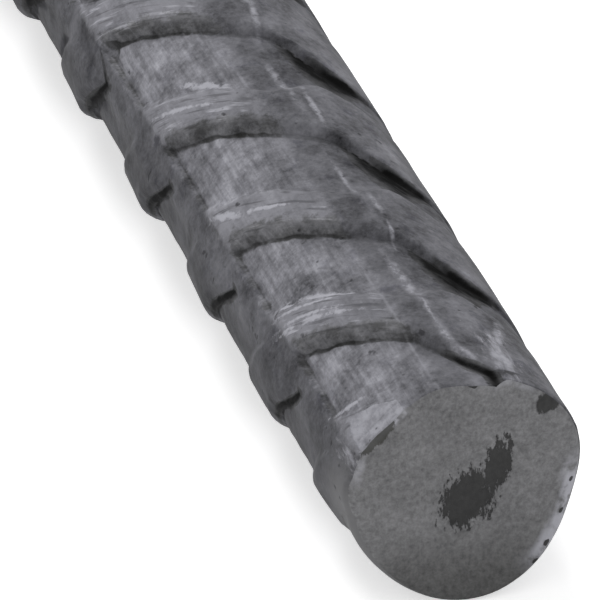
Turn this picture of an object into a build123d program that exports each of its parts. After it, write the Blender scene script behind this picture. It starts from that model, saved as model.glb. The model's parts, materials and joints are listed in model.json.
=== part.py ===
"""One straight length of ribbed steel reinforcing bar, sheared at both ends.

The bar lies along X with its middle over the origin and rests on Z = 0. The
solid is the bar's outline over the crests of its ribs, and the ribs themselves
are surface relief within it. Lengths are millimetres, angles degrees.
"""

import os
from math import radians, tan

from build123d import *

# Bar: 25 mm nominal size, cut to a short retail length.
bar_length = 600.0
core_diameter = 23.8
rib_height = 1.1

# Seam lands: the two plain strips along the bar, opposite each other, where
# the rows of ribs stop short of the joint between the two rolls.
seam_land_width = 2.0
seam_land_height = 0.75
seam_wall_angle = 50.0
seam_lean_from_top = 70.0

# Sheared ends: the edge that the blade draws over.
end_edge_radius = 0.9

# Cuts reach this far past the faces that they open.
cut_overrun = 2.0

# Sizes that follow from the ones above.
crest_radius = core_diameter / 2 + rib_height
seam_land_radius = core_diameter / 2 + seam_land_height
seam_cut_depth = crest_radius - seam_land_radius + cut_overrun
seam_mouth_width = seam_land_width + 2 * seam_cut_depth / tan(radians(seam_wall_angle))


def rolled_bar():
    """The round bar over its crests, with both sheared edges drawn over."""
    with BuildPart() as bar:
        with Locations((0, 0, crest_radius)):
            Cylinder(crest_radius, bar_length, rotation=(0, 90, 0))
        sheared_edges = bar.edges().filter_by(GeomType.CIRCLE)
        fillet(sheared_edges, end_edge_radius)
    return bar.part


def seam_channels():
    """The two shallow channels that leave the seam lands between the rib rows."""
    with BuildPart() as channels:
        with BuildSketch(Plane.YZ):
            with Locations((0, crest_radius)):
                with PolarLocations(seam_land_radius, 2, start_angle=90 + seam_lean_from_top):
                    Trapezoid(
                        seam_mouth_width,
                        seam_cut_depth,
                        seam_wall_angle,
                        rotation=90,
                        align=(Align.CENTER, Align.MAX),
                    )
        extrude(amount=bar_length / 2 + cut_overrun, both=True)
    return channels.part


rebar = rolled_bar() - seam_channels()
rebar.label = "rebar"

os.makedirs("parts", exist_ok=True)
export_step(rebar, "parts/rebar.step")
print(f"rebar: {rebar.volume:.1f} mm3, {2 * crest_radius:.2f} mm over the ribs, {bar_length:.0f} mm long")
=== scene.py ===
# %% [markdown]
# # A ribbed reinforcing bar
# One hot-rolled steel bar lies on a pale floor with a sheared end towards us.
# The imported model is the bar's outline over its ribs. This lesson raises the
# ribs themselves, leaves the shear's marks on the ends and adds the coat of
# mill scale that the hot steel grew as it cooled.

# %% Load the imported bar
import json
import math

import bmesh
import bpy
from mathutils import Matrix, Vector, noise


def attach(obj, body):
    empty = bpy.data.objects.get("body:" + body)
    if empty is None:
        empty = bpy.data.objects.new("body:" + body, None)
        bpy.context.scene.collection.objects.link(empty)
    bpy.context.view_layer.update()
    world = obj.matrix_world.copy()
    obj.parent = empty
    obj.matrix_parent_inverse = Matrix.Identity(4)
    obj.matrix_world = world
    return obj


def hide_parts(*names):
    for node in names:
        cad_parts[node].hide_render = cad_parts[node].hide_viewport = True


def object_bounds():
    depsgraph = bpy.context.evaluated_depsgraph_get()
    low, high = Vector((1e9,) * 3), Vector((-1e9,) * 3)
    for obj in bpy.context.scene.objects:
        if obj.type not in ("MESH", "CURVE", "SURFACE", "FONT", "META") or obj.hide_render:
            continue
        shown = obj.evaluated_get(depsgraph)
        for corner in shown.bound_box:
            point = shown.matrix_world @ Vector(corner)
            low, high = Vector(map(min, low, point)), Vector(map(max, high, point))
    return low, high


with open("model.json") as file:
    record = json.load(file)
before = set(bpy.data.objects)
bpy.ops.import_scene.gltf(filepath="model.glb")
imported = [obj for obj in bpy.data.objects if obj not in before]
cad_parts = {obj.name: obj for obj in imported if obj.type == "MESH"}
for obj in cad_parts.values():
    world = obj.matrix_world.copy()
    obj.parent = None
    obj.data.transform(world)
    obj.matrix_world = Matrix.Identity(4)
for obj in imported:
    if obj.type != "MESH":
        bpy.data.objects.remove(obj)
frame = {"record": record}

MM = 0.001
DEG = math.radians(1)
TURN = 360 * DEG
cad_low, cad_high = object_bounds()
bar_body = next(m for m in frame["record"]["mounts"] if m["name"] == "bar_body")
crest_radius = bar_body["dims"]["r_mm"] * MM
bar_axis = Vector(bar_body["pos_m"])
near_x = cad_high.x
far_x = cad_low.x
print(f"bar: {(near_x - far_x) / MM:.0f} mm long, {2 * crest_radius / MM:.1f} mm over the ribs")

# %% [markdown]
# ## The camera
# The photograph was taken with a long lens from above and in front of the
# sheared end. A camera can be placed by eye, but here the middle of the end
# face, the bar's size in pixels and its lean in the picture are known, so the
# place is worked out from them and can be checked by number. The face lies a
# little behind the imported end, because the shear left a burr that stands out.

# %% The camera at the photograph's angle
photo_side_pixels = 600
lens_pixels = 27000
crest_radius_pixels = 126.5
face_middle_pixel = (464.4, 486.6)
camera_azimuth = 72.13 * DEG
camera_elevation = 30.8 * DEG
burr_reach = 1.6 * MM
face_x = near_x - burr_reach

to_camera = Vector((
    math.sin(camera_azimuth) * math.cos(camera_elevation),
    -math.cos(camera_azimuth) * math.cos(camera_elevation),
    math.sin(camera_elevation),
))
camera_turn = (-to_camera).to_track_quat("-Z", "Y")
metres_per_pixel = crest_radius / crest_radius_pixels
middle = photo_side_pixels / 2
sideways = camera_turn @ Vector((1, 0, 0)) * (face_middle_pixel[0] - middle) * metres_per_pixel
upwards = camera_turn @ Vector((0, 1, 0)) * (middle - face_middle_pixel[1]) * metres_per_pixel
face_middle = Vector((face_x, bar_axis.y, bar_axis.z))


def show(name, data):
    """Put a camera, a lamp or a mesh into the scene as an object."""
    item = bpy.data.objects.new(name, data)
    bpy.context.scene.collection.objects.link(item)
    return item


camera_data = bpy.data.cameras.new("photo_camera")
camera_data.sensor_width = 36
camera_data.lens = camera_data.sensor_width * lens_pixels / photo_side_pixels
camera_data.clip_end = 100
camera = show("photo_camera", camera_data)
camera.rotation_mode = "QUATERNION"
camera.rotation_quaternion = camera_turn
camera.location = face_middle - sideways - upwards + to_camera * lens_pixels * metres_per_pixel
bpy.context.scene.camera = camera
print(f"camera {camera.location.x:.3f} {camera.location.y:.3f} {camera.location.z:.3f} m")

# %% [markdown]
# ## A mesh that runs with the ribs
# Two grooved rolls squeeze the red-hot bar, and each groove leaves a rib. The
# ribs climb round the bar at about 45 degrees, in two rows that stop at a plain
# seam land on each side. A grid laid straight along the bar would cut across
# the ribs and leave their edges ragged. So a line with a point at every rib
# corner is swept round the bar in a helix: a spin with a small step along the
# axis. The mesh then has an edge along each foot and each crest.

# %% One pitch of the line, copied along the bar
rib_pitch = 22.0 * MM
near_flank = 2.7 * MM
crest_width = 5.0 * MM
far_flank = 2.4 * MM
rib_height = 1.1 * MM
core_radius = crest_radius - rib_height
far_foot = near_flank + crest_width + far_flank
plain_corners = (0, near_flank, near_flank + crest_width, far_foot, rib_pitch)
stretch_cuts = (4, 3, 3, 5)
pitch_count = 34
near_overhang_pitches = 3


def rib_line(bm, first_foot):
    """A straight wire with points at the rib corners, from past the near end back."""
    for start, end, cuts in zip(plain_corners, plain_corners[1:], stretch_cuts):
        ends = [bm.verts.new((first_foot - back, 0, core_radius)) for back in (start, end)]
        bmesh.ops.subdivide_edges(bm, edges=[bm.edges.new(ends)], cuts=cuts)
    one_pitch = bm.verts[:] + bm.edges[:]
    for number in range(1, pitch_count):
        copy = bmesh.ops.duplicate(bm, geom=one_pitch)["geom"]
        copied = [part for part in copy if isinstance(part, bmesh.types.BMVert)]
        bmesh.ops.translate(bm, verts=copied, vec=(-number * rib_pitch, 0, 0))
    bmesh.ops.remove_doubles(bm, verts=bm.verts[:], dist=0.01 * MM)


# %% [markdown]
# ## Two rows of ribs
# Each roll leaves one row, half a turn wide. Both rows climb the same way round
# the bar, but nothing ties one roll's grooves to the other's, so the lower row
# is shifted along the bar. Each row is a sweep of its own.

# %% Sweep the two rows
rib_lead = 11.4 * MM
seam_place = -70 * DEG
seam_half_width = 4.5 * DEG
row_span = math.pi - 2 * seam_half_width
row_steps = 44
upper_foot_from_face = 21.5 * MM
lower_foot_from_face = 19.2 * MM


def angle_from_top(point):
    """How far round from the top a point lies, towards +Y, in radians."""
    return math.atan2(point.y - bar_axis.y, point.z - bar_axis.z)


def rib_row(name, direction, foot_from_face):
    """One row as a swept sheet, from the seam that faces us to the hidden one."""
    bm = bmesh.new()
    rib_line(bm, face_x - foot_from_face + near_overhang_pitches * rib_pitch)
    start = seam_place + direction * seam_half_width
    place = Matrix.Translation(bar_axis) @ Matrix.Rotation(-start, 4, "X")
    bmesh.ops.transform(bm, matrix=place, verts=bm.verts[:])
    step_along = direction * rib_lead * row_span / row_steps
    bmesh.ops.spin(
        bm, geom=bm.verts[:] + bm.edges[:], cent=bar_axis, axis=(-direction, 0, 0),
        dvec=(step_along, 0, 0), angle=row_span, steps=row_steps, use_merge=False, use_duplicate=False,
    )
    sheet = bpy.data.meshes.new(name)
    bm.to_mesh(sheet)
    bm.free()
    print(f"{name}: {len(sheet.vertices)} points, {len(sheet.polygons)} faces")
    return sheet


upper_row = rib_row("upper_row", 1, upper_foot_from_face)
lower_row = rib_row("lower_row", -1, lower_foot_from_face)

# %% [markdown]
# ## The seam lands
# A little steel is squeezed into the gap between the rolls and leaves a plain
# strip along each side. Bridging the borders of the rows fills the strips with
# faces. On the hidden side the climb has carried the rows' ends about three
# ribs apart, so that bridge leaves out the ribs that have no partner.

# %% Bridge the rows along the two seam lands
hidden_seam_skip = 3
trim_overhang = 6 * MM
border_tolerance = 0.1 * DEG


def border(bm, angle):
    """The edges along one border of a row, from the near end back."""
    def lies_on(edge):
        return all(math.cos(angle_from_top(v.co) - angle) > math.cos(border_tolerance) for v in edge.verts)
    edges = [edge for edge in bm.edges if edge.is_boundary and lies_on(edge)]
    return sorted(edges, key=lambda edge: -sum(v.co.x for v in edge.verts))


def cut_square(bm, x, direction):
    """Cut the bar square at a place along it, and clear what lies past the cut."""
    parts = bm.verts[:] + bm.edges[:] + bm.faces[:]
    bmesh.ops.bisect_plane(
        bm, geom=parts, dist=0.001 * MM, plane_co=(x, 0, 0), plane_no=(direction, 0, 0), clear_outer=True,
    )


bm = bmesh.new()
bm.from_mesh(upper_row)
bm.from_mesh(lower_row)
facing_pair = [border(bm, seam_place + side * seam_half_width) for side in (1, -1)]
hidden_pair = [border(bm, seam_place + math.pi + side * seam_half_width) for side in (-1, 1)]
skip = hidden_seam_skip * len(facing_pair[0]) // pitch_count
bmesh.ops.bridge_loops(bm, edges=facing_pair[0] + facing_pair[1])
bmesh.ops.bridge_loops(bm, edges=hidden_pair[0][skip:] + hidden_pair[1][:-skip])
for end_x, direction in ((near_x, 1), (far_x, -1)):
    cut_square(bm, end_x + direction * trim_overhang, direction)
print(f"plain sweep: {len(bm.faces)} faces, land edges {[len(line) for line in facing_pair + hidden_pair]}")

# %% [markdown]
# ## A finer mesh where we look closely
# The first few ribs fill the picture, and the rest of the bar is only seen
# from further off. A subdivision of the whole mesh would be wasteful, so only
# the edges near this end and on this side are divided.

# %% Divide the near part
close_length = 86 * MM
close_middle = -27.3 * DEG
close_half_span = 99 * DEG
close_cuts = 2


def apart(angle, other):
    """The angle between two places round the bar, the shorter way."""
    return abs((angle - other + math.pi) % TURN - math.pi)


def is_close(point):
    """True on the stretch of the bar that the photograph shows."""
    off_middle = apart(angle_from_top(point), close_middle)
    return point.x > face_x - close_length and off_middle < close_half_span


close_edges = [edge for edge in bm.edges if all(is_close(v.co) for v in edge.verts)]
bmesh.ops.subdivide_edges(bm, edges=close_edges, cuts=close_cuts, use_grid_fill=True)
print(f"divided: {len(bm.faces)} faces")

# %% [markdown]
# ## Raising the ribs
# A rib rises sharply at its near foot, rounds over on to a flat crest and falls
# gently to the far side. Worn rolls leave it uneven: edges wander, crests are
# lumpy, and near the seams the ribs and the hollows both run out into the land.
# A sculptor would push these in by hand. Here each point of the plain sweep is
# moved by the same rules, with smooth noise for the unevenness.

# %% The height of a rib and of its seam land
far_foot_height = 0.22 * MM
seam_land_height = 0.75 * MM
crest_ramp = 7 * DEG
hollow_ramps = {"upper": 3 * DEG, "lower": 20 * DEG}
border_wander = 0.9 * DEG


def ease(share):
    """A smooth step from 0 to 1."""
    share = min(max(share, 0), 1)
    return share * share * (3 - 2 * share)


def rise(value, start, over):
    """A smooth step from 0 to 1 that begins at a start and takes a given stretch."""
    return ease((value - start) / over)


def rib_relief(across, crest, row):
    """Height above the core at a distance back from the near foot."""
    if across < near_flank:
        share = across / near_flank
        rounded = 1 - (1 - share) ** 2
        return crest * (rounded if row == "upper" else 0.5 * share + 0.5 * rounded)
    if across < near_flank + crest_width:
        return crest
    if across < far_foot:
        fall = ease((across - near_flank - crest_width) / far_flank)
        return crest + (far_foot_height - crest) * fall
    return far_foot_height * (rib_pitch - across) / (rib_pitch - far_foot)


def run_out(height, past_land, row):
    """Lead ribs down, and hollows up, to the height of the seam land."""
    ramp = crest_ramp if height > seam_land_height else hollow_ramps[row]
    return seam_land_height + (height - seam_land_height) * ease(past_land / ramp)


# %% [markdown]
# ## Ribs that change round the bar
# Worn rolls don't leave the same rib all the way round. On the shoulder it is
# steeper and wider, and beside the lower land its foot flares out. So the
# corners of the rib move with the angle, and the points between them follow.

# %% Rib corners at every angle
def lumps(point, size, seed):
    """Smooth noise between about -1 and 1, with features of the given size."""
    return noise.noise(point / size + Vector((seed, 0, seed)))


steep_rise = (-17 * DEG, 35 * DEG)
steepest_share = 0.4
wide_rise = (-8 * DEG, 36 * DEG)
widest_gain = 6.5 * MM
shoulder_gain = 1.5 * MM
shoulder_gain_rise = (12 * DEG, 22 * DEG)
lower_gain = 1.9 * MM
lower_widening = 0.7 * MM
lower_flare = 2.0 * MM
lower_flare_span = 30 * DEG
lower_sector = (-150 * DEG, 80 * DEG)


def nearness(angle, middle, span):
    """1 at the middle of a sector, easing to 0 at its sides."""
    return ease(1 - apart(angle, middle) / span)


def rib_corners(angle, row):
    """Where a rib's corners lie at an angle round the bar: steeper and wider on the shoulder."""
    if row == "lower":
        early = lower_gain * nearness(angle, *lower_sector)
        early += lower_flare * nearness(angle, seam_place - seam_half_width, lower_flare_span)
        far_corners = (near_flank + crest_width + lower_widening, far_foot + lower_widening)
        return (-early, near_flank - early) + far_corners + (rib_pitch - early,)
    lost = near_flank * (1 - steepest_share) * rise(angle, *steep_rise)
    gain = widest_gain * rise(angle, *wide_rise)
    early = shoulder_gain * rise(angle, *shoulder_gain_rise)
    near_corners = (lost - early, near_flank - early)
    return near_corners + (near_flank + crest_width + gain, far_foot + gain, rib_pitch + lost - early)


def moved_across(across, corners):
    """Stretch the distance across a plain rib to fit the corners at this angle."""
    stretches = zip(plain_corners, plain_corners[1:], corners, corners[1:])
    for plain_start, plain_end, start, end in stretches:
        if across <= plain_end:
            return start + (end - start) * (across - plain_start) / (plain_end - plain_start)
    return corners[-1]


# %% [markdown]
# ## What the shear does near the end
# The blade flattens the crest that it lands on and leaves a bright smear. On
# the shoulder away from the blade the metal is dragged towards the cut, so the
# last rib bends to meet it.

# %% The blade's flat and the dragged shoulder
flat_angle = -43 * DEG
flat_depth_radius = 11.75 * MM
flat_length = 8.5 * MM
drag_reach = 4.8 * MM
drag_from = -15 * DEG
drag_over = 25 * DEG
drag_until = 40 * DEG
drag_length = 13 * MM
drag_start = 5 * MM

flat_slope = math.atan2(crest_radius - flat_depth_radius, flat_length)
flat_outward = Vector((0, math.sin(flat_angle), math.cos(flat_angle)))
flat_normal = flat_outward * math.cos(flat_slope) + Vector((1, 0, 0)) * math.sin(flat_slope)
flat_point = face_middle + flat_outward * flat_depth_radius


def dragged(from_face, angle):
    """How far the shear pulls the surface towards the near end."""
    round_share = ease((angle - drag_from) / drag_over) * ease((drag_until - angle) / drag_over)
    return drag_reach * round_share * (1 - ease((from_face - drag_start) / drag_length))


def press_flat(point):
    """Press a point down on to the blade's flat where it stands proud of it."""
    proud = (point - flat_point).dot(flat_normal)
    if proud > 0 and point.x > face_x - 2 * flat_length:
        point = point - flat_normal * proud
    return point


# %% [markdown]
# ## Black scale and painted shade at the feet of the ribs
# Loose scale packs into the crack at a rib's near foot, and the crack's shade is
# painted black with it. The near flanks get dust and painted shade. On the
# shoulder the black spreads out over the core, partly scale and partly a painted
# shadow of the rib. Beside the lower land it is a short wedge of dirt and painted
# shade. It follows the ribs, so it is worked out with the shape and kept as a
# mark on the points, for the finish to use.

# %% Scale, dust and painted shade on the upper ribs
soot_and_shade_start = 77 * DEG
soot_and_shade_end = 122 * DEG
soot_and_shade_fade = 11 * DEG
soot_and_shade_most_reach = 7.2 * MM
soot_and_shade_sector = (92 * DEG, 27 * DEG)
soot_and_shade_from_face = 10 * MM
soot_and_shade_overlap = 1.15
crack_widths = (0.5 * MM, 0.7 * MM)
crack_overlap = 1.2
crack_start = 60 * DEG
crack_climbs = 88 * DEG
crack_near_face = 1.5
flank_dust_and_shade = 0.4
flank_dust_and_shade_reach = 1.9
flank_lighter_rise = (50 * DEG, 13 * DEG)
flank_lightened = 0.85


def upper_soot_and_shade(across, corners, row_angle, from_face):
    """Black scale, dust and painted shade on an upper rib's near flank and in front of it, from 0 to 1."""
    near_foot, flank_top, crest_end = corners[:3]
    # Painted shadow: the black patches on the shoulder stand for the rib's shadow as well as scale.
    depth = ease((row_angle - soot_and_shade_start) / soot_and_shade_fade) * ease((soot_and_shade_end - row_angle) / soot_and_shade_fade)
    away_from_end = ease(from_face / soot_and_shade_from_face)
    near_crack = ease(crack_near_face - from_face / soot_and_shade_from_face)
    near_crack *= ease((row_angle - crack_start) / soot_and_shade_fade)
    crack_width = crack_widths[0] + (crack_widths[1] - crack_widths[0]) * away_from_end
    if across >= (flank_top + crest_end) / 2:
        reach = crack_width + soot_and_shade_most_reach * nearness(row_angle, *soot_and_shade_sector) * away_from_end
        return max(depth, near_crack) * ease(soot_and_shade_overlap - (corners[4] - across) / reach)
    # Painted shade: the crack at the foot is painted black, with the scale in it.
    black = max(depth * ease((row_angle - crack_climbs) / soot_and_shade_fade), near_crack)
    black *= ease(crack_overlap - max(across - near_foot, 0) / crack_width)
    # Painted shade: the near flank is darkened with its dust, and less so further round.
    up_flank = (across - near_foot) / (flank_top - near_foot)
    dust_and_shade = 1 - flank_lightened * rise(row_angle, *flank_lighter_rise)
    dust_and_shade *= flank_dust_and_shade * ease(row_angle / crest_ramp) * ease(1 - up_flank / flank_dust_and_shade_reach)
    return max(black, dust_and_shade)


# %% The dark wedge of dirt and painted shade on the lower ribs
wedge_widths = {"crest": 0.6 * MM, "hollow": 1.3 * MM}
wedge_least_width = 0.2 * MM
wedge_least = 0.3
wedge_sector = (5 * DEG, 62 * DEG)
wedge_fade = 3 * DEG
wedge_start = 0.3 * MM
wedge_climb = 1.0 * MM


def lower_soot_and_shade(across, corners, row_angle, from_face):
    """The wedge of dirt and painted shade at a lower rib's near foot, crisp towards the crest and soft
    towards the hollow.
    """
    past_foot = across - (corners[0] if across < rib_pitch / 2 else corners[4])
    past_line = past_foot - wedge_start - wedge_climb * row_angle
    beside_land = nearness(row_angle, *wedge_sector)
    width = wedge_least_width + beside_land * wedge_widths["crest" if past_line > 0 else "hollow"]
    share = wedge_least + (1 - wedge_least) * beside_land
    share *= ease(1 + row_angle / wedge_fade) * ease(from_face / soot_and_shade_from_face)
    return share * ease(soot_and_shade_overlap - abs(past_line) / width)


# %% Bright smears beside the cut
burnish_depth = 0.2 * MM
smears = ((26, 17, 6, 9, 0.8), (-70, 13, 3, 6, 0.6))


def smeared(angle, from_face):
    """How bright a place was rubbed, from each smear's angle, span, distance, half length and share."""
    shares = [0.0]
    for middle, span, distance, half_length, share in smears:
        beside = nearness(angle, math.radians(middle), math.radians(span))
        along = ease(1 - abs(from_face - distance * MM) / (half_length * MM))
        shares.append(share * beside * along)
    return max(shares)


# %% [markdown]
# ## Hollows that change, and crushed ribs
# The hollows run out on the far shoulder and deepen along the lower row, where
# the crests also fall away. Under the bar the shear crushed the last ribs to
# one smooth round. Each of these is a small rule of its own.

# %% Depth of the hollows and the crushed end
lower_depth_shares = (0.82, 1.23)
lower_depth_rise = (46 * MM, 17 * MM)
crest_fall = 0.48 * MM
crest_fall_from_face = 55 * MM
crest_fall_ramp = 14 * DEG
shoulder_fill = 0.78
shoulder_rise = (33 * DEG, 26 * DEG)
crushed_length = 13 * MM
crushed_radius = 12.4 * MM
crushed_angle = 180 * DEG
crushed_span = 105 * DEG
crushed_fade = 40 * DEG
sagged_height = 0.57 * MM
sagged_sector = (-172 * DEG, 65 * DEG)


def hollow_depth_share(from_face, angle, row):
    """How deep the hollows are, as a share of the plain depth."""
    if row == "upper":
        return 1 - shoulder_fill * rise(angle, *shoulder_rise)
    shallow, deep = lower_depth_shares
    return shallow + (deep - shallow) * rise(from_face, *lower_depth_rise)


def lower_crest_fall(across, corners, from_face, past_land):
    """How far a lower rib's crest has fallen at a distance across it."""
    past_corner = min(max((across - corners[1]) / (corners[3] - corners[1]), 0), 1)
    along_bar = ease(from_face / crest_fall_from_face)
    return crest_fall * past_corner * along_bar * ease(past_land / crest_fall_ramp)


def crushed(radius, from_face, angle):
    """The radius where the shear crushes the ribs beside the cut."""
    off_middle = apart(angle, crushed_angle)
    share = ease((crushed_span - off_middle) / crushed_fade) * (1 - ease(from_face / crushed_length))
    smooth_radius = crushed_radius + sagged_height * nearness(angle, *sagged_sector)
    return radius + (smooth_radius - radius) * share


# %% [markdown]
# ## Moving every point
# Now the rules meet. For each point the script finds its row and its rib, moves
# it along the bar to the rib's own corners, lifts it to the height there, and
# presses it flat where the blade landed.

# %% Move every point
edge_wander = 0.4 * MM
fine_wander = 0.3 * MM
lump_height = 0.1 * MM
lump_sink = 0.3
fine_lump_height = 0.06 * MM
crest_variation = 0.1
swell_sector = (62 * DEG, 38 * DEG)
swell_height = 0.33 * MM
# Painted shade, with dirt, at the foot of the land's step.
border_dirt_and_shade = 0.4
border_sector = (1.3 * DEG, 3.2 * DEG)
rounding_guard = 0.0001 * MM


def row_place(angle):
    """Which row an angle lies in, how far past its seam, and where the row's first foot is."""
    turn = (angle - seam_place) % TURN
    if turn < math.pi:
        row_angle = turn - seam_half_width
        return "upper", row_angle, face_x - upper_foot_from_face + rib_lead * row_angle
    row_angle = TURN - turn - seam_half_width
    return "lower", row_angle, face_x - lower_foot_from_face - rib_lead * row_angle


def rolled(point):
    """Where a point of the plain sweep lies on the rolled bar, with its relief, its soot and dirt with
    painted shade, and its burnish.
    """
    angle = angle_from_top(point)
    row, row_angle, foot_x = row_place(angle)
    back = foot_x - point.x + rounding_guard
    rib = math.floor(back / rib_pitch)
    plain_across = back - rib * rib_pitch
    corners = rib_corners(angle, row)
    across = moved_across(plain_across, corners)
    place_x = foot_x - rib * rib_pitch - across
    drag = dragged(face_x - place_x, angle) if row == "upper" else 0
    place_x += drag + edge_wander * lumps(point, 6 * MM, 1) + fine_wander * lumps(point, 2 * MM, 2)
    from_face = face_x - place_x

    crest = rib_height
    if row == "upper":
        crest *= 1 - crest_variation * (0.5 + 0.5 * noise.noise((rib * 3.7, row_angle, 5)))
    past_land = min(row_angle, row_span - row_angle) + border_wander * lumps(point, 5 * MM, 3)
    height = run_out(rib_relief(plain_across, crest, row), past_land, row)
    if row == "lower":
        height -= lower_crest_fall(across, corners, from_face, past_land) * height / crest
    height = crest - (crest - height) * hollow_depth_share(from_face, angle, row)
    relief = height / rib_height
    height += lump_height * (lumps(point, 4.5 * MM, 4) - lump_sink)
    height += fine_lump_height * lumps(point, 1.4 * MM, 5)

    radius = min(core_radius + height, crest_radius)
    radius += swell_height * nearness(angle, *swell_sector)
    radius = crushed(radius, from_face, angle)
    side = min(max(bar_axis.y + radius * math.sin(angle), cad_low.y), cad_high.y)
    up = min(max(bar_axis.z + radius * math.cos(angle), cad_low.z), cad_high.z)
    place = Vector((place_x, side, up))
    pressed = press_flat(place)
    burnish_and_highlight = max(ease((place - pressed).length / burnish_depth), smeared(angle, from_face))
    if row == "lower":
        return pressed, relief, lower_soot_and_shade(across, corners, row_angle, from_face), burnish_and_highlight
    # Painted shade with dirt beside the land, where the hollow steps down from it.
    dirt_and_shade_by_border = border_dirt_and_shade * nearness(row_angle, *border_sector) * (1 - relief)
    soot_and_shade = max(upper_soot_and_shade(across, corners, row_angle, from_face), dirt_and_shade_by_border)
    return pressed, relief, soot_and_shade, burnish_and_highlight


# Marks for the finish: soot and dirt with painted shade, relief, and burnish, which later also takes the
# painted rim highlight.
soot_and_shade_mark = bm.verts.layers.float.new("soot_and_shade")
relief_mark = bm.verts.layers.float.new("relief")
burnish_and_highlight_mark = bm.verts.layers.float.new("burnish_and_highlight")
for vert in bm.verts:
    vert.co, vert[relief_mark], vert[soot_and_shade_mark], vert[burnish_and_highlight_mark] = rolled(vert.co)
print(f"rolled: highest point {max(v.co.z for v in bm.verts) / MM:.2f} mm")

# %% [markdown]
# ## Shearing the ends
# The bar is cut by a blade, not sawn, so the rim is drawn over and the face is
# slightly torn. The sheet is cut with a bisecting plane, and the open edge is
# extruded ring by ring: a quarter-round for the drawn rim, then rings across
# the face to its middle. More rings near the middle leave room for the tear.

# %% Cut, draw the rim over and close the face
rim_least = 0.3 * MM
rim_drawn = 0.65 * MM
rim_most = 2.0 * MM
rim_soft_sector = (-115 * DEG, 72 * DEG)
rim_rolled = 1.7 * MM
rim_rolled_sector = (104 * DEG, 42 * DEG)
rim_crisp_angle = -20 * DEG
rim_crisp_span = 40 * DEG
rim_rings = 4
face_shares = (0.96, 0.9, 0.83, 0.76, 0.69, 0.62, 0.55, 0.49, 0.43, 0.37, 0.31, 0.25, 0.19, 0.13, 0.07)
ring_merge = 0.09 * MM
at_cut = 0.01 * MM


def outward(point):
    """From the axis to a point, across the bar."""
    return Vector((0, point.y - bar_axis.y, point.z - bar_axis.z))


def rim_radius(point):
    """The rim is crisp under the blade, drawn over elsewhere, and softest low on both sides."""
    angle = angle_from_top(point)
    off_blade = apart(angle, rim_crisp_angle)
    drawn = rim_least + (rim_drawn - rim_least) * ease((off_blade - rim_crisp_span) / rim_crisp_span)
    soft = (rim_most - rim_drawn) * nearness(angle, *rim_soft_sector)
    rolled_over = (rim_rolled - rim_drawn) * nearness(angle, *rim_rolled_sector)
    return drawn + max(soft, rolled_over)


def next_ring(bm, ring, place, bare=False):
    """Extrude an open ring of edges and put each new point in its place."""
    grown = bmesh.ops.extrude_edge_only(bm, edges=ring)["geom"]
    for part in grown:
        if isinstance(part, bmesh.types.BMVert):
            part.co = place(part.co)
            if bare:
                part[burnish_and_highlight_mark] = 0
    return [part for part in grown if isinstance(part, bmesh.types.BMEdge)]


def shear_end(bm, end_x, direction):
    """Cut the bar square, draw its rim over and close it with rings of faces."""
    cut_x = end_x - direction * rim_most
    cut_square(bm, cut_x, direction)
    rim = [v for v in bm.verts if v.is_boundary and abs(v.co.x - cut_x) < at_cut]
    # In order round the bar and exactly on the cut, each run merges the same points.
    rim.sort(key=lambda vert: angle_from_top(vert.co))
    for vert in rim:
        vert.co.x = cut_x
    bmesh.ops.remove_doubles(bm, verts=rim, dist=ring_merge)
    ring = [e for e in bm.edges if e.is_boundary and all(abs(v.co.x - cut_x) < at_cut for v in e.verts)]

    def to_rim_start(point):
        return Vector((end_x - direction * rim_radius(point), point.y, point.z))

    ring = next_ring(bm, ring, to_rim_start)
    for number in range(rim_rings):
        before = math.pi / 2 * number / rim_rings
        after = math.pi / 2 * (number + 1) / rim_rings

        def round_over(point):
            rim = rim_radius(point)
            drop = rim * (math.cos(before) - math.cos(after))
            x = end_x - direction * rim * (1 - math.sin(after))
            return Vector((x, point.y, point.z)) - outward(point).normalized() * drop

        ring = next_ring(bm, ring, round_over)
    reach = 1.0
    for share in face_shares:
        ring = next_ring(bm, ring, lambda point: point - outward(point) * (1 - share / reach), bare=True)
        reach = share
    ring_points = list({v for edge in ring for v in edge.verts})
    ring = next_ring(bm, ring, lambda point: point)
    last = list({v for edge in ring for v in edge.verts})
    bmesh.ops.pointmerge(bm, verts=last, merge_co=(end_x, bar_axis.y, bar_axis.z))
    print(f"end at {end_x / MM:.1f} mm: {len(ring_points)} points round the rim")


shear_end(bm, face_x, 1)
shear_end(bm, far_x, -1)
bmesh.ops.recalc_face_normals(bm, faces=bm.faces[:])

# %% [markdown]
# ## The burr and the torn face
# Where the blade broke through last, the steel stands out as a burr, and a chip
# has come away from the rim beside the blade's flat. The middle of the face
# tore a little deeper than the rest. All three are small moves along the bar.

# %% Bend the burr out and sink the chips
burr_sector = (168 * DEG, 80 * DEG)
burr_length = 9 * MM
burr_overreach = 1.05 * burr_reach
recess_sector = (-14 * DEG, 24 * DEG)
recess_depth = 0.75 * MM
chip_sector = (-50 * DEG, 15 * DEG)
chip_depth = 0.45 * MM
chip_width = 1.3 * MM
tear_middle = Vector((0, 1.6 * MM, 0.0))
tear_lean = 48 * DEG
tear_half_length = 5.6 * MM
tear_half_width = 2.4 * MM
tear_depth = 0.22 * MM
tear_border = 1.6
tear_raggedness = 0.5
chip_least = 0.7
chip_raggedness = 0.6
face_roughness = 0.05 * MM
face_skin = 0.4 * MM


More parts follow.
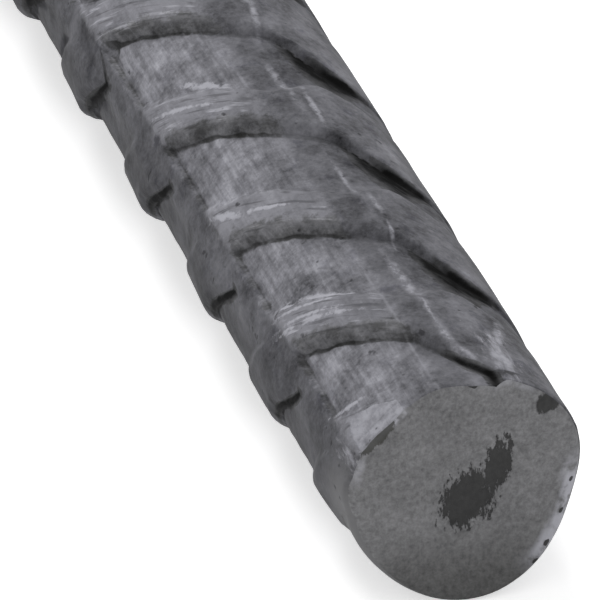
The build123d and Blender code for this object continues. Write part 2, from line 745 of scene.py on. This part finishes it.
def end_shift(point, rim):
    """How far a point near the sheared end moves along the bar."""
    angle = angle_from_top(point)
    reach = outward(point).length
    behind = face_x - point.x
    weight = ease(1 - behind / burr_length) * min(reach / rim, 1) ** 2
    shift = burr_overreach * nearness(angle, *burr_sector) * weight
    shift -= recess_depth * nearness(angle, *recess_sector) * weight
    if behind < face_skin:
        spot = outward(point) - tear_middle
        along = spot.y * math.cos(tear_lean) + spot.z * math.sin(tear_lean)
        beside = spot.z * math.cos(tear_lean) - spot.y * math.sin(tear_lean)
        tear = Vector((along / tear_half_length, beside / tear_half_width)).length
        shift -= tear_depth * ease(tear_border - tear + tear_raggedness * lumps(point, 1.2 * MM, 6))
        chip = nearness(angle, *chip_sector) * ease(1 - (rim - reach) / chip_width)
        shift -= chip_depth * chip * (chip_least + chip_raggedness * lumps(point, 0.9 * MM, 7))
        shift += face_roughness * lumps(point, 2.5 * MM, 8)
    return shift


rim_reach = 12.2 * MM
for vert in bm.verts:
    if vert.co.x > face_x - burr_length:
        vert.co.x = min(vert.co.x + end_shift(vert.co, rim_reach), near_x)
print(f"burr reaches x = {max(v.co.x for v in bm.verts) / MM:.2f} mm")

# %% [markdown]
# ## Marks that follow the shape
# Dirt and loose scale gather in corners, shade falls there and is painted in with
# the dirt, and edges rub bright. The renderer could guess at corners, but an
# exported model would lose that. So the script measures it once: a smoothed copy
# of the mesh stands above the real one in a hollow and below it on an edge. The
# difference is kept as an attribute.

# %% Measure hollows and edges
smoothing_passes = 7
hollow_mark = bm.verts.layers.float.new("hollow")
bm.normal_update()
smoothed = bm.copy()
for _ in range(smoothing_passes):
    bmesh.ops.smooth_vert(
        smoothed, verts=smoothed.verts[:], factor=0.5, use_axis_x=True, use_axis_y=True, use_axis_z=True,
    )
smoothed.verts.ensure_lookup_table()
for vert in bm.verts:
    vert[hollow_mark] = (smoothed.verts[vert.index].co - vert.co).dot(vert.normal) / MM
smoothed.free()
depths = [vert[hollow_mark] for vert in bm.verts]
print(f"hollow mark: {min(depths):.2f} to {max(depths):.2f} mm")

# %% [markdown]
# ## Steel that the shear wiped, and a painted rim highlight
# Low on the left the shear drew the steel over the rim and wiped it smooth. On
# the right the rolled-over rim catches the light, and that highlight is painted
# on as a bright mark, partly burnish. Both are marks beside the cut. The faces
# across the bar's ends then get their own finish.

# %% Mark the drawn side and the painted rim highlight
drawn_sector = (-135 * DEG, 85 * DEG)
drawn_gain = 2.2
drawn_length = 8 * MM
drawn_overlap = 1.3
rim_highlight_sector = (115 * DEG, 46 * DEG)
rim_highlight_gain = 1.5
rim_highlight_reach = 10.4 * MM
rim_highlight_fade = 0.7 * MM
rim_highlight_length = 2.4 * MM
rim_highlight_overlap = 1.6
drawn_mark = bm.verts.layers.float.new("drawn")
for vert in bm.verts:
    behind = near_x - vert.co.x
    if behind < drawn_length + burr_reach:
        angle = angle_from_top(vert.co)
        beside = ease(drawn_gain * nearness(angle, *drawn_sector))
        vert[drawn_mark] = beside * ease(drawn_overlap - behind / drawn_length)
        # Painted highlight: the rolled rim on the right is painted bright, in the burnish mark.
        rim_highlight = ease(rim_highlight_gain * nearness(angle, *rim_highlight_sector))
        rim_highlight *= ease((outward(vert.co).length - rim_highlight_reach) / rim_highlight_fade)
        rim_highlight *= ease(rim_highlight_overlap - behind / rim_highlight_length)
        vert[burnish_and_highlight_mark] = max(vert[burnish_and_highlight_mark], rim_highlight)

# %% Give the ends their finish and make the piece
face_finish = 1
face_least_slope = 0.6
for face in bm.faces:
    face.smooth = True
    middle_x = face.calc_center_median().x
    at_end = middle_x > face_x - rim_most or middle_x < far_x + rim_most
    if at_end and abs(face.normal.x) > face_least_slope:
        face.material_index = face_finish

triangles = sum(len(face.verts) - 2 for face in bm.faces)
open_edges = sum(1 for edge in bm.edges if not edge.is_manifold)
print(f"ribbed bar: {triangles} triangles, {open_edges} open edges")
bar_mesh = bpy.data.meshes.new("ribbed_bar")
bm.to_mesh(bar_mesh)
bm.free()
ribbed_bar = show("ribbed_bar", bar_mesh)

# %% [markdown]
# ## Building finishes from nodes
# A finish is a tree of small nodes. These helpers add a node, feed its sockets
# and give back an output, so that each finish below reads as a short recipe.
# Everything is worked out from the place on the bar, in millimetres.

# %% Helpers that add nodes
def feed(tree, socket, value):
    """Link a socket to another node's output, or set its plain value."""
    if isinstance(value, bpy.types.NodeSocket):
        tree.links.new(value, socket)
    else:
        socket.default_value = value


def add(tree, kind, inputs=(), **settings):
    """Add a node with its settings and inputs."""
    node = tree.nodes.new(kind)
    for name, value in settings.items():
        setattr(node, name, value)
    for name, value in dict(inputs).items():
        feed(tree, node.inputs[name], value)
    return node


def new_finish(name):
    """A material, its node tree and its shader."""
    material = bpy.data.materials.new(name)
    material.use_nodes = True
    return material, material.node_tree, material.node_tree.nodes["Principled BSDF"]


def new_group(name, inputs, outputs):
    """An empty node group with named sockets."""
    group = bpy.data.node_groups.new(name, "ShaderNodeTree")
    for side, sockets in (("INPUT", inputs), ("OUTPUT", outputs)):
        for socket_name, socket_type in sockets:
            group.interface.new_socket(name=socket_name, in_out=side, socket_type=socket_type)
    return group, add(group, "NodeGroupInput").outputs, add(group, "NodeGroupOutput").inputs


# %% Helpers for values and masks
def calc(tree, operation, *values):
    """One step of arithmetic."""
    node = add(tree, "ShaderNodeMath", operation=operation)
    for socket, value in zip(node.inputs, values):
        feed(tree, socket, value)
    return node.outputs[0]


def product(tree, *values):
    """Several masks or values multiplied together."""
    result = values[0]
    for value in values[1:]:
        result = calc(tree, "MULTIPLY", result, value)
    return result


def plus_share(tree, base, value, share):
    """A base value with a share of another value added."""
    return calc(tree, "MULTIPLY_ADD", value, share, base)


def any_of(tree, *masks):
    """The strongest of several masks at each place."""
    result = masks[0]
    for mask in masks[1:]:
        result = calc(tree, "MAXIMUM", result, mask)
    return result


def between(tree, value, low, high, to_low=0.0, to_high=1.0):
    """A smooth step from one value to another."""
    inputs = {"Value": value, "From Min": low, "From Max": high, "To Min": to_low, "To Max": to_high}
    return add(tree, "ShaderNodeMapRange", inputs, interpolation_type="SMOOTHSTEP").outputs["Result"]


def zone(tree, value, start, full_from, full_to, end):
    """1 within a range of values, easing to 0 on both sides."""
    return product(tree, between(tree, value, start, full_from), between(tree, value, end, full_to))


def attribute(tree, name):
    """A value that was measured on the mesh."""
    return add(tree, "ShaderNodeAttribute", attribute_name=name).outputs["Fac"]


# %% Helpers for noise, colour and grain
def clouds(tree, place, size, detail=2.0, roughness=0.5):
    """Soft noise from 0 to 1, with features of about the given size."""
    inputs = {"Vector": place, "Scale": 1 / size, "Detail": detail, "Roughness": roughness}
    return add(tree, "ShaderNodeTexNoise", inputs).outputs[0]


def swings(tree, place, size, detail=2.0, roughness=0.5):
    """Soft noise about 0, from -0.5 to 0.5."""
    return calc(tree, "SUBTRACT", clouds(tree, place, size, detail, roughness), 0.5)


def blotches(tree, place, size, low, high, detail=3.0, roughness=0.6):
    """Separate patches of about the given size: less of them the higher the step."""
    return between(tree, clouds(tree, place, size, detail, roughness), low, high)


def grey(tone, blue=1.1):
    """A steel grey, a little bluer than neutral."""
    return (tone, tone, tone * blue, 1)


def blend(tree, share, below, above, kind="MIX"):
    """Lay one colour over another."""
    node = add(tree, "ShaderNodeMix", data_type="RGBA", blend_type=kind)
    for number, value in ((0, share), (6, below), (7, above)):
        feed(tree, node.inputs[number], value)
    return node.outputs[2]


def add_grain(tree, shader, height):
    """Fine grain on the shader, from a height in millimetres."""
    bump = add(tree, "ShaderNodeBump", {"Height": height, "Distance": MM, "Strength": 1.0})
    feed(tree, shader.inputs["Normal"], bump.outputs["Normal"])


def place_in_mm(tree):
    """The place on the bar from the middle of its axis, in millimetres."""
    place = add(tree, "ShaderNodeTexCoord").outputs["Object"]
    from_axis = add(tree, "ShaderNodeVectorMath", {0: place, 1: bar_axis}, operation="SUBTRACT").outputs[0]
    return add(tree, "ShaderNodeVectorMath", {0: from_axis, "Scale": 1 / MM}, operation="SCALE").outputs[0]


# %% [markdown]
# ## Two effects that both finishes share
# Steel is never one flat grey. Patches of scale differ a little in tone and are
# sprinkled with fine specks. And dirt fills the corners, with the corners' shade
# painted in as well, which the hollow mark shows. Each effect is a node group
# with its own strength in each finish.

# %% Mottle, and corner dirt with painted shade
VECTOR = "NodeSocketVector"
VALUE = "NodeSocketFloat"

mottle, mottle_in, mottle_out = new_group(
    "steel_mottle",
    [("Place", VECTOR), ("Patches", VALUE), ("Specks", VALUE)],
    [("Tone", VALUE), ("Grain", VALUE)],
)
patches = swings(mottle, mottle_in["Place"], 5.5, 5.0, 0.68)
grain = clouds(mottle, mottle_in["Place"], 0.55, 3.0, 0.7)
specks = calc(mottle, "SUBTRACT", grain, 0.5)
patch_tone = plus_share(mottle, 1.0, patches, mottle_in["Patches"])
feed(mottle, mottle_out["Tone"], plus_share(mottle, patch_tone, specks, mottle_in["Specks"]))
feed(mottle, mottle_out["Grain"], grain)

# Corner darkening: dirt with painted shade in the hollows.
corner_dirt_and_shade, dirt_and_shade_in, dirt_and_shade_out = new_group(
    "corner_dirt_and_shade",
    [("Place", VECTOR), ("Hollow", VALUE), ("Clean Below", VALUE), ("Full Above", VALUE)],
    [("Mask", VALUE)],
)
ragged = swings(corner_dirt_and_shade, dirt_and_shade_in["Place"], 1.1, 3.0, 0.65)
ragged_hollow = plus_share(corner_dirt_and_shade, dirt_and_shade_in["Hollow"], ragged, dirt_and_shade_in["Full Above"])
mask = between(corner_dirt_and_shade, ragged_hollow, dirt_and_shade_in["Clean Below"], dirt_and_shade_in["Full Above"])
feed(corner_dirt_and_shade, dirt_and_shade_out["Mask"], mask)


def steel_mottle(tree, place, patches, specks):
    """The mottle's outputs: a tone to multiply by, and the grain."""
    inputs = {"Place": place, "Patches": patches, "Specks": specks}
    return add(tree, "ShaderNodeGroup", inputs, node_tree=mottle).outputs


def dirt_and_shade_mask(tree, place, clean_below, full_above):
    """Dirt and painted shade in the corners of the shape."""
    inputs = {"Place": place, "Clean Below": clean_below, "Full Above": full_above}
    inputs["Hollow"] = attribute(tree, "hollow")
    return add(tree, "ShaderNodeGroup", inputs, node_tree=corner_dirt_and_shade).outputs["Mask"]


print("groups:", [group.name for group in bpy.data.node_groups])

# %% [markdown]
# ## Mill scale
# Hot steel grows a blue-grey skin of oxide. The rolls and the guides rub it:
# a wide band beside the seam is scuffed lighter, with fine lines along the bar
# on the core and scratches along the ribs on their crests. Next to it the scale
# is whole and dark. The band follows the rolls, so it repeats half a turn on.
# The first need is to name a place by the bar and by the ribs.

# %% Places along the bar and along the ribs
half_turn_degrees = 180.0
rib_slope = rib_lead / crest_radius
rib_run = math.hypot(1, rib_slope)


def bar_places(tree, place):
    """Place along the bar, place round it and half-turn angle, from the seam that faces us."""
    split = add(tree, "ShaderNodeSeparateXYZ", {0: place}).outputs
    over_seam = (0, math.sin(seam_place), math.cos(seam_place))
    beside_seam = (0, math.cos(seam_place), -math.sin(seam_place))
    heights = [
        add(tree, "ShaderNodeVectorMath", {0: place, 1: way}, operation="DOT_PRODUCT").outputs["Value"]
        for way in (beside_seam, over_seam)
    ]
    turn = calc(tree, "ARCTAN2", *heights)
    half_turn = calc(tree, "FLOORED_MODULO", calc(tree, "DEGREES", turn), half_turn_degrees)
    around = calc(tree, "MULTIPLY", turn, crest_radius / MM)
    return split["X"], around, half_turn


def rib_ways(tree, x, around):
    """Distances along and across the ribs."""
    along = plus_share(tree, product(tree, around, 1 / rib_run), x, rib_slope / rib_run)
    across = plus_share(tree, product(tree, around, -rib_slope / rib_run), x, 1 / rib_run)
    return along, across


def rib_place(from_face, past_seam):
    """The same distances, from millimetres behind the face and degrees past the seam."""
    x = (face_x - bar_axis.x) / MM - from_face
    around = math.radians(past_seam) * crest_radius / MM
    return Vector(((x * rib_slope + around) / rib_run, (x - around * rib_slope) / rib_run))


def stretched(tree, along, across, along_size, across_size):
    """A flat place whose noise is drawn out one way."""
    inputs = {"X": calc(tree, "DIVIDE", along, along_size), "Y": calc(tree, "DIVIDE", across, across_size)}
    return add(tree, "ShaderNodeCombineXYZ", inputs).outputs[0]


# %% Lines, spots and strokes
def line_at(tree, angle, middle, half_width):
    """A thin line along the bar at one angle."""
    off = calc(tree, "ABSOLUTE", calc(tree, "SUBTRACT", angle, middle))
    return between(tree, off, half_width, 0.0)


def spot(tree, first, second, ragged, middle, half_length, half_width, lean, softness=0.12):
    """A ragged oval mark on a flat place, from its middle, its half sizes and its lean."""
    first = calc(tree, "SUBTRACT", first, middle[0])
    second = calc(tree, "SUBTRACT", second, middle[1])
    cos, sin = math.cos(lean), math.sin(lean)
    along = plus_share(tree, product(tree, second, sin / half_length), first, cos / half_length)
    beside = plus_share(tree, product(tree, first, -sin / half_width), second, cos / half_width)
    far = calc(tree, "SQRT", calc(tree, "ADD", product(tree, along, along), product(tree, beside, beside)))
    return between(tree, calc(tree, "ADD", far, ragged), 1.0 + softness, 1.0 - softness)


def stroke_masks(tree, ways, strokes, ragged, softness):
    """A mask for each stroke, from where it starts and ends and its half width."""
    masks = []
    for from_face, past_seam, to_face, to_seam, half_width in strokes:
        start = rib_place(from_face, past_seam)
        end = rib_place(to_face, to_seam)
        run = end - start
        sizes = (run.length / 2, half_width, math.atan2(run.y, run.x), softness)
        masks.append(spot(tree, *ways, ragged, (start + end) / 2, *sizes))
    return masks


# %% [markdown]
# The scale's own tone changes round the bar, so a colour ramp holds the tones
# at a row of angles. Noise makes the borders wander, and mottle, fine lines and
# dark patches break the tones up.

# %% The scale's own tones
tone_stops = (
    (0, 0.1), (4, 0.108), (7.5, 0.19), (30, 0.217), (38, 0.215), (47, 0.165), (58, 0.168), (62, 0.122),
    (70, 0.11), (76, 0.128), (90, 0.102), (110, 0.108), (128, 0.092), (140, 0.062), (162, 0.072),
    (174, 0.098), (180, 0.1),
)
tone_wander_degrees = 13.0
line_contrast = 1.5
worn_gain = 1.32

mill_scale, tree, shader = new_finish("mill_scale")
place = place_in_mm(tree)
x, around, half_turn = bar_places(tree, place)
along_ribs = rib_ways(tree, x, around)
mottled = steel_mottle(tree, place, 3.1, 1.1)
crest = between(tree, attribute(tree, "relief"), 0.6, 0.92)
wandered = plus_share(tree, half_turn, swings(tree, place, 3.6, 5.0, 0.7), tone_wander_degrees)
wandering = calc(tree, "FLOORED_MODULO", wandered, half_turn_degrees)
tones = add(tree, "ShaderNodeValToRGB", {"Fac": calc(tree, "DIVIDE", wandering, half_turn_degrees)})
while len(tones.color_ramp.elements) < len(tone_stops):
    tones.color_ramp.elements.new(0.5)
for stop, (degrees, tone) in zip(tones.color_ramp.elements, tone_stops):
    stop.position = degrees / half_turn_degrees
    stop.color = grey(tone)

scuffed = zone(tree, wandering, 4.0, 8.0, 54.0, 59.0)
lines = clouds(tree, stretched(tree, x, around, 7.0, 0.8), 1.0, 4.0, 0.62)
line_tone = plus_share(tree, 1.0, calc(tree, "SUBTRACT", lines, 0.5), product(tree, scuffed, line_contrast))
colour = blend(tree, 1.0, tones.outputs["Color"], product(tree, mottled["Tone"], line_tone), "MULTIPLY")
dark_patches = blotches(tree, place, 3.2, 0.54, 0.68, 5.0, 0.68)
patch_share = between(tree, scuffed, 0.0, 1.0, 0.6, 0.25)
colour = blend(tree, product(tree, dark_patches, patch_share), colour, grey(0.5), "MULTIPLY")
worn_shoulder = product(tree, crest, zone(tree, half_turn, 78.0, 92.0, 108.0, 124.0))
colour = blend(tree, worn_shoulder, colour, grey(worn_gain, 1.0), "MULTIPLY")
print(f"scale's own tones: {len(tone_stops)} stops, {len(tree.nodes)} nodes")

# %% [markdown]
# The guides rubbed the crests in the scuffed band. They are lighter there, with
# bright and dark scratches along the ribs. The longest scratches in the
# photograph are placed one by one.

# %% Rubbed and scratched crests
strokes = (
    (20.2, 37, 25.5, 8, 0.3), (21.4, 36, 26.2, 9, 0.2), (22.2, 48, 27.4, 24, 0.3),
    (23.6, 34, 27.6, 11, 0.18), (27.4, 20, 29.4, 10, 0.25), (6.9, 24, 8.9, 6, 0.25),
    (41.5, 42, 44.5, 27, 0.2), (45.5, 22, 49.6, 8, 0.35), (64.5, 38, 69.5, 14, 0.22),
    (66.4, 49, 70.6, 33, 0.4),
)
stroke_softness = 0.6
stroke_raggedness = -5.0

rubbed = product(tree, scuffed, crest)
rubbed_patches = blotches(tree, place, 4.5, 0.46, 0.62)
colour = blend(tree, product(tree, rubbed, 0.5), colour, grey(0.205))
colour = blend(tree, product(tree, rubbed, rubbed_patches, 0.55), colour, grey(0.27))
scratches = clouds(tree, stretched(tree, *along_ribs, 7.0, 0.75), 1.0, 3.0, 0.6)
scratched_patches = blotches(tree, place, 7.0, 0.44, 0.58)
fine_scratch = product(tree, between(tree, scratches, 0.55, 0.64), rubbed, scratched_patches)
broken_edge = product(tree, swings(tree, place, 1.1, 4.0, 0.7), stroke_raggedness)
long_scratches = stroke_masks(tree, along_ribs, strokes, broken_edge, stroke_softness)
colour = blend(tree, product(tree, any_of(tree, fine_scratch, *long_scratches), 0.8), colour, grey(0.44))
dark_scratch = product(tree, between(tree, scratches, 0.45, 0.35), rubbed)
colour = blend(tree, product(tree, dark_scratch, 0.6), colour, grey(0.075))
print(f"crests: {len(strokes)} long scratches, {len(tree.nodes)} nodes")

# %% [markdown]
# Rollers under the cooling bar leave lines along it. One runs beside the
# scuffed band, and a row of soft, broken streaks lies further round.

# %% Lines and streaks along the bar
rub_line = 57.6
streak_line = 75.5
streak_drift_degrees = 12.0
streaks = (
    (4.0, 82, 7.5, 75, 0.25), (6.5, 75, 12.0, 73.4, 0.36), (11.5, 73.4, 18.0, 74, 0.16),
    (17.0, 73.8, 26.8, 72.4, 0.5), (29.5, 79.5, 32.5, 80.5, 0.16), (35.5, 80.6, 38.5, 80, 0.32),
    (41.5, 75.6, 46.0, 75, 0.24), (54.5, 80.5, 60.8, 80.7, 0.28), (59.5, 74, 67.5, 73.5, 0.36),
    (75.0, 78, 81.0, 82.5, 0.3), (80.5, 81, 84.5, 75, 0.5), (1.5, 89, 6.0, 93, 0.4),
    (3.5, 92, 9.0, 98, 0.5), (7.0, 96, 13.0, 108, 0.5), (1.5, 95, 5.0, 99, 0.4),
)
streak_softness = 0.95
streak_raggedness = -3.0

broken = blotches(tree, stretched(tree, x, around, 9.0, 3.0), 1.0, 0.47, 0.6, 4.0)
rub = product(tree, line_at(tree, half_turn, rub_line, 1.3), broken, 0.4)
colour = blend(tree, rub, colour, grey(0.32))
drift = plus_share(tree, streak_line, swings(tree, place, 16.0), streak_drift_degrees)
streak = product(tree, line_at(tree, wandering, drift, 3.2), broken, 0.2)
colour = blend(tree, streak, colour, grey(0.31))
worn_edge = product(tree, swings(tree, place, 1.6, 5.0, 0.7), streak_raggedness)
worn_streak = any_of(tree, *stroke_masks(tree, along_ribs, streaks, worn_edge, streak_softness))
worn_patches = between(tree, clouds(tree, place, 1.2, 4.0, 0.7), 0.38, 0.58, 0.25, 1.0)
colour = blend(tree, product(tree, worn_streak, worn_patches, 0.85), colour, grey(0.36))
print(f"lines: {len(streaks)} streaks, {len(tree.nodes)} nodes")

# %% [markdown]
# Beside the cut the shear has rubbed through to bright steel, smudged along the
# bar, and the drawn side is dull bare steel. The same bright mark also paints
# the highlight on the rolled rim on the right.

# %% Bright steel, painted rim highlight and drawn steel
# The burnish mark also holds the painted rim highlight.
smudges = swings(tree, stretched(tree, x, around, 2.4, 0.8), 1.0, 5.0, 0.72)
smudged = plus_share(tree, attribute(tree, "burnish_and_highlight"), smudges, 2.4)
bright_steel = blend(tree, blotches(tree, place, 1.3, 0.35, 0.65, 4.0, 0.65), grey(0.25), grey(0.37))
colour = blend(tree, product(tree, between(tree, smudged, 0.35, 0.95), 0.95), colour, bright_steel)
colour = blend(tree, product(tree, attribute(tree, "drawn"), 0.92), colour, grey(0.185, 1.03))
print(f"steel at the cut: {len(tree.nodes)} nodes")

# %% [markdown]
# Dirt and painted shade come last, because they lie on everything else: pits, a
# little dirt and painted shade along the feet, dust and painted shade on the near
# flanks, and the black scale and painted shadow in front of them.

# %% Dirt, black scale and painted shade
pits = blotches(tree, place, 1.7, 0.69, 0.76, 2.0, 0.5)
colour = blend(tree, product(tree, pits, 0.75), colour, grey(0.03))
# Dirt and painted shade in the corners and along the feet.
dirt_and_shade = dirt_and_shade_mask(tree, place, 0.01, 0.08)
patchy = between(tree, clouds(tree, place, 4.0, 3.0, 0.6), 0.36, 0.6, 0.3, 0.75)
faint_by_seam = between(tree, half_turn, 12.0, 9.0, 0.0, 0.7)
faint_by_streaks = zone(tree, half_turn, 52.0, 64.0, 84.0, 94.0)
faint = any_of(tree, faint_by_streaks, faint_by_seam, between(tree, half_turn, 132.0, 140.0))
foot_dirt_and_shade = product(tree, dirt_and_shade, patchy, between(tree, faint, 0.0, 1.0, 1.0, 0.35))
colour = blend(tree, foot_dirt_and_shade, colour, grey(0.022, 0.95))
# The soot mark: black scale with painted shade and shadow.
soot_and_shade = attribute(tree, "soot_and_shade")
streaky = clouds(tree, stretched(tree, *along_ribs, 3.0, 1.1), 1.0, 5.0, 0.7)
lumpy_soot_and_shade = plus_share(tree, soot_and_shade, swings(tree, place, 2.0, 5.0, 0.7), 0.8)
# The flanks are multiplied darker: painted shade with the dust.
flank_tone = blend(tree, between(tree, streaky, 0.35, 0.65), grey(0.42, 0.94), grey(0.85, 0.97))
colour = blend(tree, between(tree, lumpy_soot_and_shade, 0.1, 0.27), colour, flank_tone, "MULTIPLY")
ragged_soot_and_shade = plus_share(tree, soot_and_shade, calc(tree, "SUBTRACT", streaky, 0.5), 1.5)
black_soot_and_shade = between(tree, ragged_soot_and_shade, 0.35, 1.05)
colour = blend(tree, black_soot_and_shade, colour, grey(0.008, 1.0))
feed(tree, shader.inputs["Base Color"], colour)

# %% Gloss and grain of the scale
rough = plus_share(tree, 0.45, mottled["Grain"], 0.2)
rough = plus_share(tree, rough, any_of(tree, dirt_and_shade, black_soot_and_shade), 0.35)
feed(tree, shader.inputs["Roughness"], rough)
shader.inputs["Specular IOR Level"].default_value = 0.03
height = product(tree, mottled["Grain"], 0.05)
height = plus_share(tree, height, product(tree, lines, scuffed), 0.12)
height = plus_share(tree, height, product(tree, scratches, crest, scuffed), 0.12)
height = plus_share(tree, height, pits, -0.08)
add_grain(tree, shader, height)
bar_mesh.materials.append(mill_scale)
print(f"mill_scale: {len(tree.nodes)} nodes")

# %% [markdown]
# ## The sheared face
# The cut is bare steel gone dull, finely grained where it broke. The middle
# tore out and collected dirt, and there are dark spots along the rim. The chip
# beside the blade's flat is painted dark for its shade, the corners get painted
# shade with their dirt, and the rolled rim on the right gets a painted
# highlight, partly burnish.

# %% Mix the sheared face
dark_spots = (
    (0.4, -1.5, 3.2, 2.7, 50, 2.8), (3.7, 1.9, 2.9, 1.4, 78, 2.8), (9.3, 8.6, 1.7, 1.2, 35, 1.2),
    (1.0, 11.9, 0.5, 0.3, 0, 2.0), (11.6, -1.2, 0.3, 0.22, 60, 1.0), (10.4, -4.6, 0.32, 0.22, 50, 1.0),
    (8.6, -7.8, 0.4, 0.25, 40, 2.0), (7.3, -9.6, 0.35, 0.2, 30, 2.0), (-6.1, -11.0, 0.4, 0.2, -30, 2.0),
)
chip_shade_spots = ((-10.0, 7.2, 2.8, 0.9, 38, 2.0), (-8.4, 8.7, 1.0, 0.5, 38, 2.0))


def spot_mask(tree, split, ragged, spots):
    """One mask of spots, from their middles, half sizes, leans and raggedness."""
    masks = []
    for y, z, half_length, half_width, lean, raggedness in spots:
        edge = product(tree, ragged, raggedness)
        sizes = (half_length, half_width, math.radians(lean))
        masks.append(spot(tree, split["Y"], split["Z"], edge, (y, z), *sizes))
    return any_of(tree, *masks)


sheared_face, tree, shader = new_finish("sheared_face")
place = place_in_mm(tree)
split = add(tree, "ShaderNodeSeparateXYZ", {0: place}).outputs
mottled = steel_mottle(tree, place, 0.7, 1.5)
face_tone = blend(tree, between(tree, split["Z"], -12.5, -2.5), grey(0.112, 1.0), grey(0.2, 1.03))
colour = blend(tree, 1.0, face_tone, mottled["Tone"], "MULTIPLY")
# Painted highlight on the rolled rim, partly burnish.
rim_patches = blotches(tree, place, 1.2, 0.3, 0.55, 3.0, 0.5)
colour = blend(tree, product(tree, attribute(tree, "burnish_and_highlight"), rim_patches, 0.9), colour, grey(0.48))
ragged = swings(tree, stretched(tree, split["Y"], split["Z"], 0.65, 1.6), 1.0, 5.0, 0.7)
# Painted shade in the chip beside the blade's flat.
chip_shade_tone = blend(tree, clouds(tree, place, 0.9, 4.0), grey(0.03, 0.9), grey(0.1, 0.92))
colour = blend(tree, product(tree, spot_mask(tree, split, ragged, chip_shade_spots), 0.9), colour, chip_shade_tone)
dark = spot_mask(tree, split, ragged, dark_spots)
dark_tone = blend(tree, clouds(tree, place, 0.6, 3.0), grey(0.022, 1.0), grey(0.06, 1.0))
colour = blend(tree, product(tree, dark, 0.95), colour, dark_tone)
# Dirt and painted shade in the corners.
colour = blend(tree, product(tree, dirt_and_shade_mask(tree, place, 0.02, 0.09), 0.7), colour, grey(0.035, 1.0))
feed(tree, shader.inputs["Base Color"], colour)
feed(tree, shader.inputs["Roughness"], plus_share(tree, 0.55, mottled["Grain"], 0.2))
shader.inputs["Specular IOR Level"].default_value = 0.12
add_grain(tree, shader, plus_share(tree, product(tree, mottled["Grain"], 0.07), dark, -0.1))
bar_mesh.materials.append(sheared_face)
print(f"sheared_face: {len(tree.nodes)} nodes")

# %% [markdown]
# ## The studio
# A white floor runs out past the picture on all sides, under an even white sky
# and one large soft lamp from behind the bar. The camera sees the floor a
# little brighter than the lamps make it, so that the page is white and only the
# soft shadow under the bar remains.

# %% Floor and sky
def seen_directly(tree):
    """1 for rays from the camera, or by way of a mirror or glass."""
    rays = add(tree, "ShaderNodeLightPath").outputs
    glossy = calc(tree, "MAXIMUM", rays["Is Glossy Ray"], rays["Is Transmission Ray"])
    return calc(tree, "MAXIMUM", rays["Is Camera Ray"], glossy)


floor_half_side = 20
floor_lift = 0.55
floor_mesh = bpy.data.meshes.new("studio_floor")
bm = bmesh.new()
bmesh.ops.create_grid(bm, x_segments=1, y_segments=1, size=floor_half_side)
bm.to_mesh(floor_mesh)
bm.free()
studio_floor = show("studio_floor", floor_mesh)
floor_paint, tree, shader = new_finish("floor_paint")
shader.inputs["Base Color"].default_value = (0.9, 0.9, 0.9, 1)
shader.inputs["Roughness"].default_value = 0.9
shader.inputs["Specular IOR Level"].default_value = 0.1
shader.inputs["Emission Color"].default_value = (1, 1, 1, 1)
feed(tree, shader.inputs["Emission Strength"], product(tree, seen_directly(tree), floor_lift))
floor_mesh.materials.append(floor_paint)
print(f"floor: {2 * floor_half_side} m square")

sky_strength = 0.6
world = bpy.data.worlds.new("studio_world")
world.use_nodes = True
tree = world.node_tree
sky = tree.nodes["Background"]
sky.inputs["Color"].default_value = (1, 1, 1, 1)
strength = calc(tree, "MULTIPLY_ADD", seen_directly(tree), 1 - sky_strength, sky_strength)
feed(tree, sky.inputs["Strength"], strength)
bpy.context.scene.world = world
print(f"sky: strength {sky_strength} on the bar")

# %% [markdown]
# ## One soft lamp
# A single square lamp stands above and behind the bar. It lights the bar from
# the far side, so the flanks that face us stay a little darker.

# %% Set up the lamp
def soft_lamp(name, direction, distance, size, power):
    """A square lamp that shines at the near part of the bar."""
    data = bpy.data.lights.new(name, "AREA")
    data.size = size
    data.energy = power
    lamp = show(name, data)
    aim = Vector(direction).normalized()
    lamp.location = Vector((near_x, 0, 0)) + aim * distance
    lamp.rotation_mode = "QUATERNION"
    lamp.rotation_quaternion = (-aim).to_track_quat("-Z", "Y")
    lamp.visible_camera = False


lamp_direction = (-0.5, -0.1, 0.85)
lamp_distance = 2.5
lamp_size = 1.2
lamp_power = 30
soft_lamp("key_lamp", lamp_direction, lamp_distance, lamp_size, lamp_power)
bpy.context.scene.view_settings.view_transform = "Standard"
print(f"lamp: {lamp_power} W, {lamp_size} m square, {lamp_distance} m away")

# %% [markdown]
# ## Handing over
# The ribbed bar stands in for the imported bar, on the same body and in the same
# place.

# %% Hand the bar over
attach(ribbed_bar, "root")
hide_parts("rebar")
